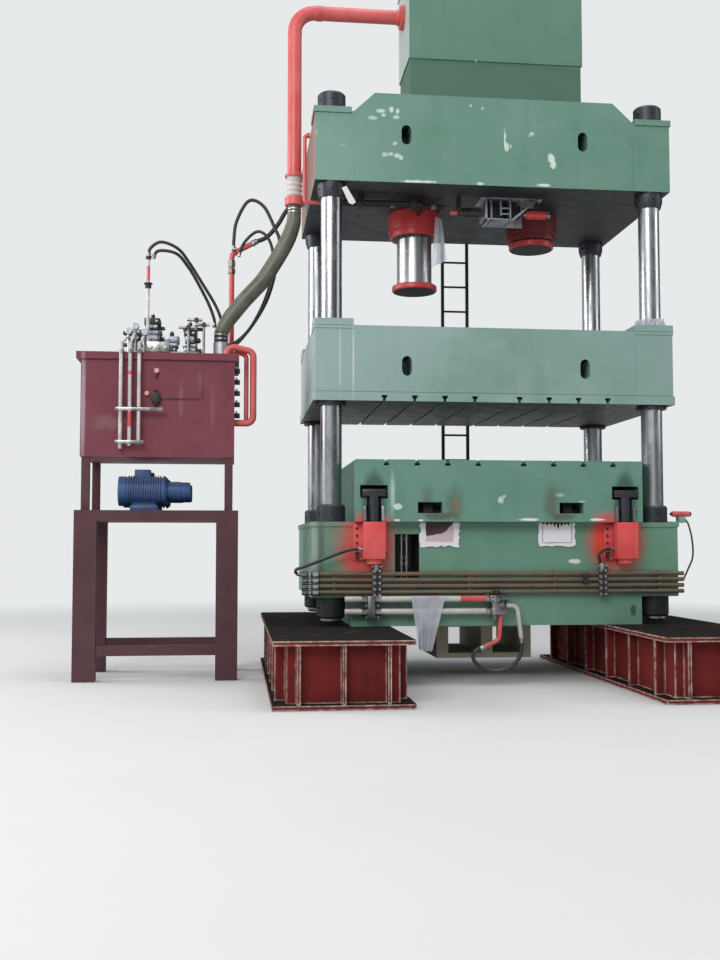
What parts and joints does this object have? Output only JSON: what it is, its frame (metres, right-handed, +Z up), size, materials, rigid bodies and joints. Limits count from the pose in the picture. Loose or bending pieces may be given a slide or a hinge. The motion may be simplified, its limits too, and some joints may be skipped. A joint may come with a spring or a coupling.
{
  "type": "hydraulic press",
  "caption": "Column-type hydraulic press with chromed rams, a T-slotted slide, a clamped rolling bolster, a head tank, pipework, steel stands and a side power unit.",
  "frame": {"origin": "centre of the bolster's work face", "axes": "+Z up, along the columns and the rams; +X to the right as seen from the front; +Y to the back. The bolster rolls out along -Y."},
  "size_m": [6.415, 3.988, 7.6159],
  "materials": {
    "green_paint": "matt to satin workshop paint with filler marks",
    "pale_green_paint": "satin paint",
    "maroon_paint": "primer, rusty in places",
    "red_paint": "satin enamel",
    "grey_paint": "dusty primer",
    "blue_paint": "satin enamel",
    "black_paint": "satin",
    "hard_chrome": "ground and chromed",
    "dark_steel": "blackened, oily",
    "pipe_steel": "bare pipe, some surface rust",
    "grey_rubber": "matt",
    "black_rubber": "matt, dusty"
  },
  "bodies": {
    "press_frame": {"bed": "green_paint", "crown": "green_paint", "head_tank": "green_paint", "stand_left": "maroon_paint", "stand_right": "maroon_paint", "unit_frame": "maroon_paint", "unit_tank": "maroon_paint", "cylinder_left": "red_paint", "cylinder_right": "red_paint", "prefill_pipe": "red_paint", "drain_pipe": "red_paint", "unit_return_pipe": "red_paint", "unit_riser": "red_paint", "clamp_body_front_left": "red_paint", "clamp_body_front_right": "red_paint", "clamp_body_back_left": "red_paint", "clamp_body_back_right": "red_paint", "column_front_left": "hard_chrome", "column_front_right": "hard_chrome", "column_back_left": "hard_chrome", "column_back_right": "hard_chrome", "top_nut_front_left": "dark_steel", "top_nut_front_right": "dark_steel", "top_nut_back_left": "dark_steel", "top_nut_back_right": "dark_steel", "crown_pipes": "pipe_steel", "valve_bracket": "pipe_steel", "bed_pipes": "pipe_steel", "cushion_lines": "pipe_steel", "cushion_valve": "pipe_steel", "unit_manifold": "pipe_steel", "unit_pipes": "pipe_steel", "ladder": "black_paint", "cushion_housing": "grey_paint", "motor_pump_front": "blue_paint", "motor_pump_back": "blue_paint", "expansion_joint": "grey_rubber", "suction_hose": "black_rubber", "cushion_hose": "black_rubber", "clamp_hose_left": "black_rubber", "clamp_hose_right": "black_rubber", "unit_hose": "black_rubber"},
    "slide": {"slide": "pale_green_paint", "guide_bush_front_left": "dark_steel", "guide_bush_front_right": "dark_steel", "guide_bush_back_left": "dark_steel", "guide_bush_back_right": "dark_steel"},
    "ram_left": {"ram_left": "hard_chrome", "ram_flange_left": "red_paint"},
    "ram_right": {"ram_right": "hard_chrome", "ram_flange_right": "red_paint"},
    "bolster": {"bolster": "green_paint"},
    "wheelset_front": {"wheelset_front": "dark_steel"},
    "wheelset_back": {"wheelset_back": "dark_steel"},
    "clamp_bolt_front_left": {"clamp_bolt_front_left": "dark_steel"},
    "clamp_bolt_front_right": {"clamp_bolt_front_right": "dark_steel"},
    "clamp_bolt_back_left": {"clamp_bolt_back_left": "dark_steel"},
    "clamp_bolt_back_right": {"clamp_bolt_back_right": "dark_steel"}
  },
  "joints": [
    {"name": "slide_travel", "type": "slide", "parent": "press_frame", "child": "slide", "axis": [0, 0, 1], "range_m": [-0.54, 0.12]},
    {"name": "ram_left_stroke", "type": "slide", "parent": "press_frame", "child": "ram_left", "axis": [0, 0, 1], "range_m": [-0.34, 0.5]},
    {"name": "ram_right_stroke", "type": "slide", "parent": "press_frame", "child": "ram_right", "axis": [0, 0, 1], "range_m": [-0.84, 0]},
    {"name": "bolster_roll_out", "type": "slide", "parent": "press_frame", "child": "bolster", "axis": [0, -1, 0], "range_m": [0, 0.95]},
    {"name": "wheelset_front_turn", "type": "hinge", "parent": "bolster", "child": "wheelset_front", "pos_m": [0, -0.98, -0.488], "axis": [1, 0, 0], "range_deg": [-10, 510]},
    {"name": "wheelset_back_turn", "type": "hinge", "parent": "bolster", "child": "wheelset_back", "pos_m": [0, 0.98, -0.488], "axis": [1, 0, 0], "range_deg": [-10, 510]},
    {"name": "clamp_front_left_lift", "type": "slide", "parent": "press_frame", "child": "clamp_bolt_front_left", "axis": [0, 0, 1], "range_m": [-0.02, 0.01]},
    {"name": "clamp_front_right_lift", "type": "slide", "parent": "press_frame", "child": "clamp_bolt_front_right", "axis": [0, 0, 1], "range_m": [-0.02, 0.01]},
    {"name": "clamp_back_left_lift", "type": "slide", "parent": "press_frame", "child": "clamp_bolt_back_left", "axis": [0, 0, 1], "range_m": [-0.02, 0.01]},
    {"name": "clamp_back_right_lift", "type": "slide", "parent": "press_frame", "child": "clamp_bolt_back_right", "axis": [0, 0, 1], "range_m": [-0.02, 0.01]}
  ],
  "couplings": [
    {"joint": "wheelset_front_turn", "follows": "bolster_roll_out", "rad_per_m": 9.0909},
    {"joint": "wheelset_back_turn", "follows": "bolster_roll_out", "rad_per_m": 9.0909}
  ]
}
